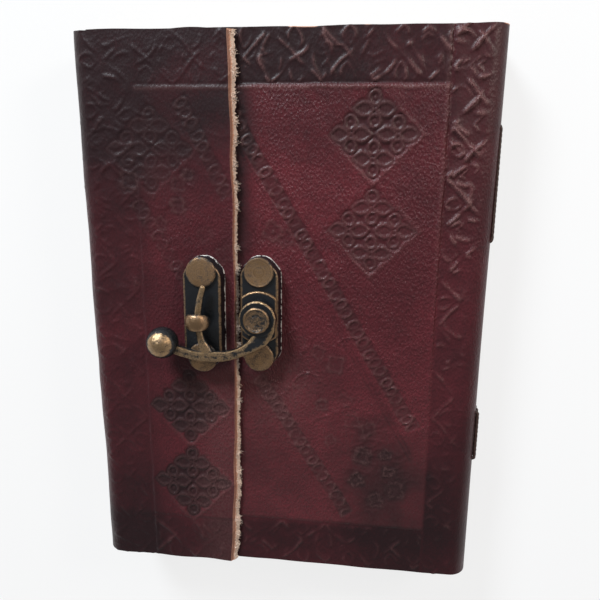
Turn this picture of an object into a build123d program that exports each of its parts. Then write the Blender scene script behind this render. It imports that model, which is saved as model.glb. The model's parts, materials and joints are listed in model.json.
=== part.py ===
from build123d import *
import os
from math import atan, cos, degrees, radians, sin, sqrt, tan

os.makedirs("parts", exist_ok=True)

# Diary with lock, lying on its back cover: X to the spine, Y to the head, Z out of the front. Millimetres.

# Book
book_w = 130.0
book_h = 178.0
hide = 2.2
fold_r = 5.0
flap_w = 49.6
flap_bow_head = 1.4
flap_bow_tail = 2.6
flap_skive = 1.5
cover_short = 2.3
cut_margin = 6.0

# Paper: each gathering is nested folded sheets with room for the thread in its crease
signature_count = 6
signature_t = 3.0
sheet_count = 3
sheet_t = 0.25
sheet_gap = 0.02
page_inset = 4.5
fore_edge_inset = 4.2
deckle = 0.5
block_gap = 0.15
fold_gap = 0.1

# Sewing
thread_r = 0.6
thread_room = 0.12
thread_gap = 0.05
thread_bend = 0.9
head_stitch_top = 62.0
head_stitch_l = 35.0
tail_stitch_top = -30.0
tail_stitch_l = 17.0

# Clasp plates and their cap rivets
clasp_y = 2.5
keeper_inset = 9.6
pivot_inset = 8.4
plate_w = 13.4
plate_l = 37.6
plate_h = 4.2
plate_wall = 1.5
plate_draft = 5.0
plate_corner = 1.6
plate_bevel = 0.8
gable_l = 4.6
gable_tip = 4.8
rivet_inset = 4.8
cap_r = 4.7
cap_t = 1.1
cap_edge = 0.45
post_r = 1.4
post_room = 0.1
washer_r = 3.7
washer_t = 0.65
seat_gap = 0.05
snug = 0.02

# Pivot: boss on the plate, eye on the arm, headed rivet through both
pivot_drop = 0.6
boss_gap = 0.1
boss_h = 1.2
boss_side = 0.8
boss_bevel = 0.4
eye_r = 5.75
eye_t = 2.8
eye_bevel = 0.5
shank_r = 2.0
running = 0.06
head_r = 4.15
head_t = 1.5
head_bevel = 0.4
ring_r = 3.15
ring_core_r = 1.9
ring_depth = 0.3
clinch_lip = 1.0
clinch_t = 0.9

# Swing arm, its bar and ball measured from the pivot
arm_w = 3.0
arm_t = 2.6
arm_edge = 0.7
arm_clear = 0.5
bar_root_x = 3.5
bar_root_y = 2.5
bar_elbow_x = 1.4
bar_elbow_y = 7.0
bar_elbow_lift = 0.35
bar_rise_x = 4.0
bar_rise_y = 10.3
bar_rise_lift = 1.5
bar_low_x = 15.0
bar_low_y = 12.9
bar_end_x = 29.2
bar_end_y = 8.5
bar_end_lift = 0.6
ball_x = 30.2
ball_y = 8.0
ball_lift = 0.9
ball_r = 4.6

# Spike and the loop that it enters from below
hook_r = 18.4
spike_turn = 29.0
spike_root_x = 18.6
spike_root_y = 12.3
spike_neck_x = 17.9
spike_neck_y = 6.3
spike_root_r = 1.25
spike_tip_r = 0.8
loop_mid_r = 3.0
loop_wire_x = 1.15
loop_wire_y = 2.5
loop_sink = 0.4

# Levels, from the back cover's outer face upwards
block_z = hide + block_gap
block_top = block_z + signature_count * signature_t
washer_room = washer_t + block_gap
cover_z = block_top + washer_room + seat_gap
cover_top = cover_z + hide
flap_z = cover_top + washer_room
flap_top = flap_z + hide
keeper_top = flap_top + plate_h
pivot_top = cover_top + plate_h
eye_z = pivot_top + boss_h + running
eye_mid_z = eye_z + eye_t / 2
head_z = eye_z + eye_t + running
arm_z = keeper_top + cap_t + arm_clear + arm_t / 2

# Places across the book
outer_x = book_w / 2
mid_x = outer_x - hide / 2
inner_x = outer_x - hide
half_h = book_h / 2
head_stitch_foot = head_stitch_top - head_stitch_l
tail_stitch_foot = tail_stitch_top - tail_stitch_l
stations = [head_stitch_top, head_stitch_foot, tail_stitch_top, tail_stitch_foot]
page_half_h = half_h - page_inset
flap_edge_x = flap_w - outer_x
keeper_x = flap_edge_x - keeper_inset
pivot_x = flap_edge_x + pivot_inset
pivot_y = clasp_y - pivot_drop
loop_x = pivot_x - hook_r
rivet_reach = plate_l / 2 - rivet_inset
rivet_y = [clasp_y + rivet_reach, clasp_y - rivet_reach]
boss_r = rivet_reach - pivot_drop - cap_r - boss_gap
plate_lean = plate_h * tan(radians(plate_draft))
pocket_h = plate_h - plate_wall
pocket_lean = pocket_h * tan(radians(plate_draft))

# Spine folds of the leather, which the outer gatherings nest into
corner_x = mid_x - fold_r
corner_low_z = hide / 2 + fold_r
corner_high_z = cover_top - hide / 2 - fold_r
leather_r = fold_r + hide / 2
lining_r = fold_r - hide / 2
leaf_half_t = signature_t / 2 - snug / 2
nest_r = lining_r - leaf_half_t - fold_gap


def plate_outline(inset):
    half_w = plate_w / 2 - inset
    half_l = plate_l / 2 - inset
    side = plate_l / 2 - gable_l
    tip = gable_tip / 2 * half_w / (plate_w / 2)
    return [
        (half_w, -side),
        (half_w, side),
        (tip, half_l),
        (-tip, half_l),
        (-half_w, side),
        (-half_w, -side),
        (-tip, -half_l),
        (tip, -half_l),
    ]


# One hide: front cover, spine, back cover, fore-edge and flap
with BuildPart() as leather_wrap:
    with BuildSketch(Plane.XZ) as wrap_profile:
        with BuildLine() as wrap_path:
            FilletPolyline(
                (cover_short - inner_x, cover_top - hide / 2),
                (mid_x, cover_top - hide / 2),
                (mid_x, hide / 2),
                (-mid_x, hide / 2),
                (-mid_x, flap_top - hide / 2),
                (pivot_x, flap_top - hide / 2),
                radius=fold_r,
            )
        trace(wrap_path.line, line_width=hide)
    extrude(amount=half_h, both=True)
    # Skived free edge of the flap, cut by hand in a slight bow
    with BuildSketch(Plane.XY.offset(flap_top + seat_gap)) as flap_trim:
        with BuildLine() as trim_line:
            trim_edge = ThreePointArc(
                (flap_edge_x - flap_bow_head, half_h + cut_margin),
                (flap_edge_x, clasp_y),
                (flap_edge_x - flap_bow_tail, -half_h - cut_margin),
            )
            Polyline(
                trim_edge @ 1,
                (pivot_x + plate_w, -half_h - cut_margin),
                (pivot_x + plate_w, half_h + cut_margin),
                trim_edge @ 0,
            )
        make_face()
    skive_angle = degrees(atan(flap_skive / hide))
    extrude(amount=-(hide + 2 * seat_gap), taper=skive_angle, mode=Mode.SUBTRACT)
    # Rivet holes through the flap and through the front cover
    with Locations(*[(keeper_x, y, flap_top - hide / 2) for y in rivet_y]):
        Cylinder(post_r + post_room, 1.5 * hide, mode=Mode.SUBTRACT)
    with Locations(*[(pivot_x, y, cover_top - hide / 2) for y in rivet_y]):
        Cylinder(post_r + post_room, 1.5 * hide, mode=Mode.SUBTRACT)
    # Sewing holes through the spine
    for k in range(signature_count):
        hole_z = block_z + signature_t * (k + 0.5)
        with BuildSketch(Plane.YZ.offset(corner_x)) as sewing_holes:
            with Locations(*[(y, hole_z) for y in stations]):
                Circle(thread_r + thread_room)
        extrude(amount=2 * leather_r, mode=Mode.SUBTRACT)
leather_wrap.part.label = "leather_wrap"
export_step(leather_wrap.part, "parts/leather_wrap.step")

# Gatherings of folded handmade sheets, each sewn through its fold and the leather spine
for k in range(signature_count):
    mid_z = block_z + signature_t * (k + 0.5)
    into_fold = max(corner_low_z - mid_z, mid_z - corner_high_z, 0)
    turn_x = corner_x + sqrt(nest_r**2 - into_fold**2)
    with BuildPart() as signature:
        for n in range(sheet_count):
            outer_h = leaf_half_t - (sheet_t + sheet_gap) * n
            inner_h = outer_h - sheet_t
            edge_x = fore_edge_inset - inner_x + deckle * ((n + k) % 3)
            with BuildSketch(Plane.XZ) as sheet_profile:
                with BuildLine() as sheet_line:
                    Polyline(
                        (turn_x, mid_z + outer_h),
                        (edge_x, mid_z + outer_h),
                        (edge_x, mid_z + inner_h),
                        (turn_x, mid_z + inner_h),
                    )
                    ThreePointArc(
                        (turn_x, mid_z + inner_h),
                        (turn_x + inner_h, mid_z),
                        (turn_x, mid_z - inner_h),
                    )
                    Polyline(
                        (turn_x, mid_z - inner_h),
                        (edge_x, mid_z - inner_h),
                        (edge_x, mid_z - outer_h),
                        (turn_x, mid_z - outer_h),
                    )
                    ThreePointArc(
                        (turn_x, mid_z - outer_h),
                        (turn_x + outer_h, mid_z),
                        (turn_x, mid_z + outer_h),
                    )
                make_face()
            extrude(amount=page_half_h, both=True)
        with BuildSketch(Plane.YZ.offset(turn_x)) as fold_holes:
            with Locations(*[(y, mid_z) for y in stations]):
                Circle(thread_r + thread_room)
        extrude(amount=signature_t, mode=Mode.SUBTRACT)
    signature.part.label = f"signature_{k + 1}"
    export_step(signature.part, f"parts/signature_{k + 1}.step")

    # Its cord lies in the crease, and outside the spine between two pairs of holes
    crease_x = turn_x + inner_h - thread_r - thread_gap
    run_x = corner_x + sqrt((leather_r + thread_r + thread_gap) ** 2 - into_fold**2)
    with BuildPart() as thread:
        with BuildLine() as thread_path:
            FilletPolyline(
                (crease_x, stations[0], mid_z),
                (run_x, stations[0], mid_z),
                (run_x, stations[1], mid_z),
                (crease_x, stations[1], mid_z),
                (crease_x, stations[2], mid_z),
                (run_x, stations[2], mid_z),
                (run_x, stations[3], mid_z),
                (crease_x, stations[3], mid_z),
                radius=thread_bend,
            )
        with BuildSketch(Plane(origin=thread_path.line @ 0, z_dir=thread_path.line % 0)) as thread_section:
            Circle(thread_r)
        sweep()
    thread.part.label = f"binding_thread_{k + 1}"
    export_step(thread.part, f"parts/binding_thread_{k + 1}.step")

# Keeper plate on the flap, cast in one with its loop
with BuildPart() as keeper_plate:
    with BuildSketch(Plane.XY.offset(flap_top)) as keeper_base:
        with Locations((keeper_x, clasp_y)):
            Polygon(*plate_outline(0), align=None)
        fillet(keeper_base.vertices(), radius=plate_corner)
    with BuildSketch(Plane.XY.offset(keeper_top)) as keeper_face:
        with Locations((keeper_x, clasp_y)):
            Polygon(*plate_outline(plate_lean), align=None)
        fillet(keeper_face.vertices(), radius=plate_corner)
    loft()
    chamfer(keeper_plate.faces().sort_by(Axis.Z)[-1].edges(), length=plate_bevel)
    with BuildSketch(Plane.XY.offset(flap_top)) as keeper_pocket_mouth:
        with Locations((keeper_x, clasp_y)):
            Polygon(*plate_outline(plate_wall), align=None)
    with BuildSketch(Plane.XY.offset(flap_top + pocket_h)) as keeper_pocket_floor:
        with Locations((keeper_x, clasp_y)):
            Polygon(*plate_outline(plate_wall + pocket_lean), align=None)
    loft(mode=Mode.SUBTRACT)
    with BuildSketch(Plane.XY.offset(keeper_top - loop_sink)) as loop_legs:
        with Locations((loop_x - loop_mid_r, pivot_y), (loop_x + loop_mid_r, pivot_y)):
            Ellipse(loop_wire_x, loop_wire_y)
    extrude(amount=arm_z - keeper_top + loop_sink)
    with BuildSketch(Plane.XY.offset(arm_z)) as loop_wire:
        with Locations((loop_x + loop_mid_r, pivot_y)):
            Ellipse(loop_wire_x, loop_wire_y)
    revolve(axis=Axis((loop_x, 0, arm_z), (0, -1, 0)), revolution_arc=180)
    with Locations(*[(keeper_x, y, keeper_top) for y in rivet_y]):
        Cylinder(post_r + snug, 3 * plate_wall, mode=Mode.SUBTRACT)
keeper_plate.part.label = "keeper_plate"
export_step(keeper_plate.part, "parts/keeper_plate.step")

# Pivot plate on the front cover, with a raised boss under the arm's eye
with BuildPart() as pivot_plate:
    with BuildSketch(Plane.XY.offset(cover_top)) as pivot_base:
        with Locations((pivot_x, clasp_y)):
            Polygon(*plate_outline(0), align=None)
        fillet(pivot_base.vertices(), radius=plate_corner)
    with BuildSketch(Plane.XY.offset(pivot_top)) as pivot_face:
        with Locations((pivot_x, clasp_y)):
            Polygon(*plate_outline(plate_lean), align=None)
        fillet(pivot_face.vertices(), radius=plate_corner)
    loft()
    chamfer(pivot_plate.faces().sort_by(Axis.Z)[-1].edges(), length=plate_bevel)
    with BuildSketch(Plane.XY.offset(pivot_top - plate_bevel)) as boss_outline:
        with Locations((pivot_x, pivot_y)):
            Circle(boss_r)
            Rectangle(plate_w - 2 * boss_side, 2 * boss_r, mode=Mode.INTERSECT)
    extrude(amount=boss_h + plate_bevel)
    chamfer(pivot_plate.faces().sort_by(Axis.Z)[-1].edges(), length=boss_bevel)
    with BuildSketch(Plane.XY.offset(cover_top)) as pivot_pocket_mouth:
        with Locations((pivot_x, clasp_y)):
            Polygon(*plate_outline(plate_wall), align=None)
    with BuildSketch(Plane.XY.offset(cover_top + pocket_h)) as pivot_pocket_floor:
        with Locations((pivot_x, clasp_y)):
            Polygon(*plate_outline(plate_wall + pocket_lean), align=None)
    loft(mode=Mode.SUBTRACT)
    with Locations(*[(pivot_x, y, pivot_top) for y in rivet_y]):
        Cylinder(post_r + snug, 3 * plate_wall, mode=Mode.SUBTRACT)
    with Locations((pivot_x, pivot_y, pivot_top)):
        Cylinder(shank_r + snug, 4 * plate_wall, mode=Mode.SUBTRACT)
pivot_plate.part.label = "pivot_plate"
export_step(pivot_plate.part, "parts/pivot_plate.step")

# Swing arm: eye, curved bar, spike that enters the loop from below, and ball knob
with BuildPart() as clasp_arm:
    with Locations((pivot_x, pivot_y, eye_z)):
        Cylinder(eye_r, eye_t, align=(Align.CENTER, Align.CENTER, Align.MIN))
    chamfer(clasp_arm.faces().sort_by(Axis.Z)[-1].edges(), length=eye_bevel)
    with BuildLine() as bar_path:
        Spline(
            (pivot_x + bar_root_x, pivot_y - bar_root_y, eye_mid_z),
            (pivot_x + bar_elbow_x, pivot_y - bar_elbow_y, eye_mid_z + bar_elbow_lift),
            (pivot_x - bar_rise_x, pivot_y - bar_rise_y, eye_mid_z + bar_rise_lift),
            (pivot_x - bar_low_x, pivot_y - bar_low_y, arm_z),
            (pivot_x - bar_end_x, pivot_y - bar_end_y, arm_z + bar_end_lift),
        )
    bar_start = Plane(origin=bar_path.line @ 0, z_dir=bar_path.line % 0, x_dir=(1, 0, 0))
    with BuildSketch(bar_start) as bar_section:
        RectangleRounded(arm_w, arm_t, arm_edge)
    sweep(path=bar_path.line, binormal=Edge.make_line((0, 0, 0), (0, 0, 1)))
    half_turn = radians(spike_turn / 2)
    full_turn = radians(spike_turn)
    with BuildLine() as spike_path:
        Spline(
            (pivot_x - spike_root_x, pivot_y - spike_root_y, arm_z),
            (pivot_x - spike_neck_x, pivot_y - spike_neck_y, arm_z),
            (loop_x, pivot_y, arm_z),
            (pivot_x - hook_r * cos(half_turn), pivot_y + hook_r * sin(half_turn), arm_z),
            (pivot_x - hook_r * cos(full_turn), pivot_y + hook_r * sin(full_turn), arm_z),
        )
    with BuildSketch(Plane(origin=spike_path.line @ 0, z_dir=spike_path.line % 0)) as spike_root:
        Circle(spike_root_r)
    with BuildSketch(Plane(origin=spike_path.line @ 1, z_dir=spike_path.line % 1)) as spike_end:
        Circle(spike_tip_r)
    sweep(path=spike_path.line, multisection=True)
    with Locations(spike_path.line @ 1):
        Sphere(spike_tip_r)
    with Locations((pivot_x - ball_x, pivot_y - ball_y, arm_z + ball_lift)):
        Sphere(ball_r)
    with Locations((pivot_x, pivot_y, eye_z)):
        Cylinder(shank_r + running, 4 * eye_t, mode=Mode.SUBTRACT)
clasp_arm.part.label = "clasp_arm"
export_step(clasp_arm.part, "parts/clasp_arm.step")

# Pivot rivet, clinched inside the hollow plate
with BuildPart() as pivot_rivet:
    clinch_z = pivot_top - plate_wall
    with Locations((pivot_x, pivot_y, clinch_z - clinch_t)):
        Cylinder(shank_r + clinch_lip, clinch_t, align=(Align.CENTER, Align.CENTER, Align.MIN))
    with Locations((pivot_x, pivot_y, clinch_z)):
        Cylinder(shank_r, head_z - clinch_z, align=(Align.CENTER, Align.CENTER, Align.MIN))
    with Locations((pivot_x, pivot_y, head_z)):
        Cylinder(head_r, head_t, align=(Align.CENTER, Align.CENTER, Align.MIN))
    chamfer(pivot_rivet.faces().sort_by(Axis.Z)[-1].edges(), length=head_bevel)
    with BuildSketch(Plane.XY.offset(head_z + head_t)) as head_ring:
        with Locations((pivot_x, pivot_y)):
            Circle(ring_r)
            Circle(ring_core_r, mode=Mode.SUBTRACT)
    extrude(amount=-ring_depth, mode=Mode.SUBTRACT)
pivot_rivet.part.label = "pivot_rivet"
export_step(pivot_rivet.part, "parts/pivot_rivet.step")

# Cap rivets through plate and leather, each closed by a back washer
for plate, x, top_z, leather_z in (
    ("keeper", keeper_x, keeper_top, flap_z),
    ("pivot_plate", pivot_x, pivot_top, cover_z),
):
    washer_z = leather_z - seat_gap - washer_t
    with BuildPart() as rivets:
        with Locations(*[(x, y, top_z) for y in rivet_y]):
            Cylinder(cap_r, cap_t, align=(Align.CENTER, Align.CENTER, Align.MIN))
        fillet(rivets.edges().group_by(Axis.Z)[-1], radius=cap_edge)
        with Locations(*[(x, y, washer_z) for y in rivet_y]):
            Cylinder(post_r, top_z - washer_z, align=(Align.CENTER, Align.CENTER, Align.MIN))
    rivets.part.label = f"{plate}_rivets"
    export_step(rivets.part, f"parts/{plate}_rivets.step")
    with BuildPart() as washers:
        with Locations(*[(x, y, washer_z) for y in rivet_y]):
            Cylinder(washer_r, washer_t, align=(Align.CENTER, Align.CENTER, Align.MIN))
            Cylinder(post_r + snug, 4 * washer_t, mode=Mode.SUBTRACT)
        chamfer(washers.edges().group_by(Axis.Z)[0], length=washer_t / 3)
    washers.part.label = f"{plate}_rivet_washers"
    export_step(washers.part, f"parts/{plate}_rivet_washers.step")
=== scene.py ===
import json
import math
import random

import bmesh
import bpy
import numpy as np
from mathutils import Matrix, Vector


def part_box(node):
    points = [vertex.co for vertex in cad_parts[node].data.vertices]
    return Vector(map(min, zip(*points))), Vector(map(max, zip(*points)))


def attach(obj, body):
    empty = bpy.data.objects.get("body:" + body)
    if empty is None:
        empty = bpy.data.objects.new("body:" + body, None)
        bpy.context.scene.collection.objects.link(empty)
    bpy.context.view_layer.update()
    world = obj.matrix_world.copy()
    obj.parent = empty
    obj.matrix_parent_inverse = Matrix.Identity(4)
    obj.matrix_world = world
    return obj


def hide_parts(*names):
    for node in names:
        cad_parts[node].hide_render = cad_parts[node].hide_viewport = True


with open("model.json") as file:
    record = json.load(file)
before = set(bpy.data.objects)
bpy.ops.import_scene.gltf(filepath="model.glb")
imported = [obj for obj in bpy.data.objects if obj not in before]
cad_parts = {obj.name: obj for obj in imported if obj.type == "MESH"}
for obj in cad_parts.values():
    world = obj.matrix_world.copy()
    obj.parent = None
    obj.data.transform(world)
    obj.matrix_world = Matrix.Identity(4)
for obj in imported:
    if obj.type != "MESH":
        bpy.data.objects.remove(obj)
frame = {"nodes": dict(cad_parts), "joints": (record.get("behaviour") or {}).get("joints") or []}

# Leather diary with a brass swing clasp. Shapes are drawn in millimetres and scaled once, in intoScene.
mm = 0.001
scene = bpy.context.scene
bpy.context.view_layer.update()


def nodeBox(node):
    low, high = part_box(node)
    return np.array(low) / mm, np.array(high) / mm


outerX, halfH, flapTop = nodeBox("leather_wrap")[1]
keeperLow, keeperHigh = nodeBox("keeper_plate")
pivotLow, pivotHigh = nodeBox("pivot_plate")
armLow = nodeBox("clasp_arm")[0]
headLow, headHigh = nodeBox("pivot_rivet")
pivotX, pivotY = np.array(frame["joints"][0]["pos_m"][:2]) / mm
coverTop = pivotLow[2]
gatherings = 6


def intoScene(name, bm, looks):
    bmesh.ops.scale(bm, vec=(mm, mm, mm), verts=bm.verts[:])
    mesh = bpy.data.meshes.new(name)
    bm.to_mesh(mesh)
    bm.free()
    mesh.shade_smooth()
    mesh.materials.append(looks)
    piece = bpy.data.objects.new(name, mesh)
    scene.collection.objects.link(piece)
    return piece


def addPiece(name, bm, body, looks, replaced=(), sharp=40.0):
    piece = intoScene(name, bm, looks)
    piece.data.set_sharp_from_angle(angle=math.radians(sharp))
    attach(piece, body)
    if replaced:
        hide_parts(*replaced)
    print("made", name, len(piece.data.polygons), "faces")


# Mesh helpers
def outward(bm):
    bmesh.ops.recalc_face_normals(bm, faces=bm.faces[:])


def takeIn(bm, other):
    shape = bpy.data.meshes.new("part")
    other.to_mesh(shape)
    other.free()
    bm.from_mesh(shape)
    bpy.data.meshes.remove(shape)


def raiseFaces(bm, vec):
    # copies every face by vec, with walls between, and gives back the copies
    grown = bmesh.ops.extrude_face_region(bm, geom=bm.faces[:], use_keep_orig=True)["geom"]
    verts = [g for g in grown if isinstance(g, bmesh.types.BMVert)]
    faces = [g for g in grown if isinstance(g, bmesh.types.BMFace)]
    bmesh.ops.translate(bm, vec=vec, verts=verts)
    return verts, faces


def roundOff(bm, geom, offset, segments=3, affect="EDGES"):
    bmesh.ops.bevel(bm, geom=geom, offset=offset, segments=segments, affect=affect, profile=0.5, material=-1)


def roundedRoute(corners, r, steps):
    # straight runs with a quarter arc at each corner, and the numbers of the points where straights start
    corners = [np.array(corner, dtype=float) for corner in corners]
    points, starts = [corners[0]], [0]
    for before, corner, after in zip(corners, corners[1:], corners[2:]):
        back = (before - corner) / np.linalg.norm(before - corner)
        ahead = (after - corner) / np.linalg.norm(after - corner)
        centre = corner + (back + ahead) * r
        for turn in np.linspace(0, math.pi / 2, steps):
            points.append(centre - (ahead * math.cos(turn) + back * math.sin(turn)) * r)
        starts.append(len(points) - 1)
    return points + [corners[-1]], starts


# Drawing helpers
def soft(lo, hi, v):
    t = np.clip((v - lo) / (hi - lo), 0, 1)
    return t * t * (3 - 2 * t)


def ridge(d, width):
    return np.exp(-((d / width) ** 2))


# Seeded unevenness, about -1 to 1, from a few waves near the given length
waver = {"waves": 5, "spread": (0.6, 1.6), "level": 0.32}


def wander(x, y, length, seed):
    draw = random.Random(seed)
    total = 0.0
    for _ in range(waver["waves"]):
        turn = draw.uniform(0, 2 * math.pi)
        wave = 2 * math.pi / (length * draw.uniform(*waver["spread"]))
        total = total + np.sin((x * math.cos(turn) + y * math.sin(turn)) * wave + draw.uniform(0, 6.3))
    return total * waver["level"]


def patchy(x, y, length, seed, low=-0.5, high=0.5):
    return soft(low, high, wander(x, y, length, seed))


def creases(x, y, length, seed):
    # narrow broken wrinkles where a slow wave crosses zero
    return ridge(wander(x, y, length, seed), 0.13) * patchy(x, y, length * 1.3, seed + 1, -0.1, 0.6)


def around(x, y, spot):
    # 1 at the spot, fading over its reach
    return ridge(np.hypot(x - spot[0], y - spot[1]), spot[2])


def byHeight(y, levels):
    return np.interp(y, list(levels), list(levels.values()))


# Material helpers
def feed(tree, node, inputs):
    for key, value in inputs.items():
        if isinstance(value, bpy.types.NodeSocket):
            tree.links.new(value, node.inputs[key])
        else:
            node.inputs[key].default_value = value


def put(tree, kind, inputs=None, **settings):
    node = tree.nodes.new(kind)
    for key, value in settings.items():
        setattr(node, key, value)
    feed(tree, node, inputs or {})
    return node


def colourMix(tree, share, first, second):
    return put(tree, "ShaderNodeMix", {0: share, 6: first, 7: second}, data_type="RGBA").outputs[2]


def maths(tree, kind, first, second, clamp=False):
    return put(tree, "ShaderNodeMath", {0: first, 1: second}, operation=kind, use_clamp=clamp).outputs[0]


def span(tree, value, low, high, toLow=0.0, toHigh=1.0):
    inputs = {"Value": value, 1: low, 2: high, 3: toLow, 4: toHigh}
    return put(tree, "ShaderNodeMapRange", inputs).outputs[0]


def mark(tree, name):
    return put(tree, "ShaderNodeAttribute", attribute_name=name).outputs["Fac"]


def speckle(tree, place, scale, detail, rough=0.55):
    inputs = {"Vector": place, "Scale": scale, "Detail": detail, "Roughness": rough}
    return put(tree, "ShaderNodeTexNoise", inputs).outputs["Fac"]


def bumps(tree, height, strength, depth):
    inputs = {"Height": height, "Strength": strength, "Distance": depth}
    return put(tree, "ShaderNodeBump", inputs).outputs["Normal"]


def newLooks(name):
    looks = bpy.data.materials.new(name)
    looks.use_nodes = True
    tree = looks.node_tree
    place = put(tree, "ShaderNodeTexCoord").outputs["Object"]
    return looks, tree, tree.nodes["Principled BSDF"], place


# Dyed leather: red-brown ground, near-black antiquing that also paints shadow, rubbed ridges with painted
# sheen and highlights, and tan raw edges
dyes = {
    "ground": (0.124, 0.0210, 0.0275, 1),
    "deep": (0.079, 0.0148, 0.0192, 1),
    "antiqueAndShade": (0.0205, 0.0086, 0.0100, 1),
    # rubbed is the pale tone of rubbed ridges, also used for painted sheen and painted highlights
    "rubbed": (0.205, 0.102, 0.096, 1),
    "raw": (0.68, 0.33, 0.21, 1),
    "rawPale": (0.82, 0.64, 0.52, 1),
}
# Markings of the hide as noise scale, detail and roughness, then its polish and bump
grain = {
    "cloud": (34.0, 4.0, 0.6),
    "mottle": (260.0, 3.0, 0.6),
    "pores": (1900.0, 3.0, 0.7),
    "fibre": (2600.0, 2.0, 0.6),
    "pebbles": 1500.0,
    "stretch": (1.0, 0.62, 1.0),
    "rough": (0.30, 0.40),
    "rawRough": 0.45,
    "shine": 0.25,
    "relief": 0.9,
    "bump": (0.75, 0.18),
    "depth": 0.0004,
}


def leatherLooks():
    looks, tree, shader, place = newLooks("dyedLeather")
    cloud = speckle(tree, place, *grain["cloud"])
    mottle = speckle(tree, place, *grain["mottle"])
    stretched = put(tree, "ShaderNodeMapping", {"Vector": place, "Scale": grain["stretch"]}).outputs["Vector"]
    cells = put(tree, "ShaderNodeTexVoronoi", {"Vector": stretched, "Scale": grain["pebbles"]})
    pores = speckle(tree, stretched, *grain["pores"])
    fibre = speckle(tree, place, *grain["fibre"])
    dyeAndShade, rubAndSheen, raw = (mark(tree, name) for name in ("dyeAndShade", "rubAndSheen", "raw"))
    ground = colourMix(tree, span(tree, cloud, 0.38, 0.66), dyes["deep"], dyes["ground"])
    blotches = span(tree, mottle, 0.3, 0.7, -0.14, 0.14)
    uneven = maths(tree, "ADD", blotches, span(tree, pores, 0.3, 0.7, -0.26, 0.26))
    uneven = maths(tree, "MULTIPLY", uneven, span(tree, dyeAndShade, 0.1, 0.8, 1.0, 0.35))
    # dark dye and painted shadow both darken the tone towards the antique colour
    tone = colourMix(tree, maths(tree, "ADD", dyeAndShade, uneven, clamp=True), ground, dyes["antiqueAndShade"])
    lifted = maths(tree, "MULTIPLY", rubAndSheen, span(tree, pores, 0.35, 0.62, 0.1, 0.8))
    # rubbed ridges, painted sheen and painted highlights lighten the tone
    tone = colourMix(tree, lifted, tone, dyes["rubbed"])
    torn = maths(tree, "ADD", raw, span(tree, fibre, 0.3, 0.7, -0.3, 0.3))
    cut = colourMix(tree, span(tree, torn, 0.45, 0.85), dyes["raw"], dyes["rawPale"])
    tone = colourMix(tree, span(tree, raw, 0.2, 0.45), tone, cut)
    polish = span(tree, mottle, 0.3, 0.7, *grain["rough"])
    polish = maths(tree, "ADD", polish, span(tree, dyeAndShade, 0.2, 0.9, 0.0, 0.06))
    rough = maths(tree, "ADD", polish, maths(tree, "MULTIPLY", raw, grain["rawRough"]), clamp=True)
    relief = maths(tree, "MULTIPLY", maths(tree, "ADD", cells.outputs["Distance"], pores), grain["relief"])
    # thick dye fills the pores
    normal = bumps(tree, relief, span(tree, dyeAndShade, 0.1, 0.7, *grain["bump"]), grain["depth"])
    feed(tree, shader, {"Base Color": tone, "Roughness": rough, "Normal": normal})
    feed(tree, shader, {"Specular IOR Level": grain["shine"]})
    return looks


# The folded hide is drawn flat as (s, y): s runs round the book from the cover's hidden edge to the flap
hide = {
    "thick": 2.2,
    "foldR": 5.0,
    "coverEdge": -60.5,
    "coverCrease": 49.0,
    "flapCrease": -45.9,
    "flapEdge": -15.4,
    "bowAt": 2.5,
    "bowReach": 95.0,
    "bowHead": 1.4,
    "bowTail": 2.6,
    "skive": {-89: 1.9, -50: 1.7, -15: 0.9, 25: 0.8, 55: 1.0, 75: 1.7, 89: 2.2},
    "growHead": (0.85, 0.0),
    "growTail": 0.7,
    "growSide": (1.5, 1.0),
    "rows": 400,
    "headBand": 72.9,
    "tailBand": -72.5,
}


def hideLine():
    # middle of the hide in X and Z, and s where each flat starts
    half = hide["thick"] / 2
    side = outerX - half
    corners = [
        (hide["coverEdge"], coverTop - half),
        (side, coverTop - half),
        (side, half),
        (-side, half),
        (-side, flapTop - half),
        (0.0, flapTop - half),
    ]
    points, starts = roundedRoute(corners, hide["foldR"], 97)
    points = np.array(points)
    s = np.concatenate([[0], np.cumsum(np.linalg.norm(np.diff(points, axis=0), axis=1))])
    return s, points, s[starts]


lineS, linePoints, flatStart = hideLine()
foldX = outerX - hide["thick"] / 2 - hide["foldR"]


def onLine(s):
    x = np.interp(s, lineS, linePoints[:, 0])
    z = np.interp(s, lineS, linePoints[:, 1])
    return x, z


def coverS(x):
    return x - hide["coverEdge"]


def backS(x):
    return flatStart[2] + foldX - x


def flapS(x):
    return flatStart[4] + foldX + x


def flapEdgeAt(y):
    up = y - hide["bowAt"]
    bow = np.where(up > 0, hide["bowHead"], hide["bowTail"])
    return hide["flapEdge"] - bow * (up / hide["bowReach"]) ** 2 + 0.22 * wander(y, y * 0, 17, 41)


def skiveAt(y):
    # the slanted cut is narrow beside the clasp and widens to head and tail
    return byHeight(y, hide["skive"]) * (1 + 0.16 * wander(y, y * 0, 8, 45))


# Border strips: crossed ribs with a leaf in each diamond and buds beside it
border = {
    "mid": 8.0,
    "half": (7.6, 8.8),
    "cell": 15.5,
    "reach": 7.4,
    "rib": 0.42,
    "leaf": 0.34,
    "leafSize": (3.2, 6.0),
    "budAt": 5.2,
    "budSize": (1.9, 2.7),
    "hatch": 0.20,
    "sunk": 0.40,
    "groove": 0.15,
    "lip": 0.32,
}


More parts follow.
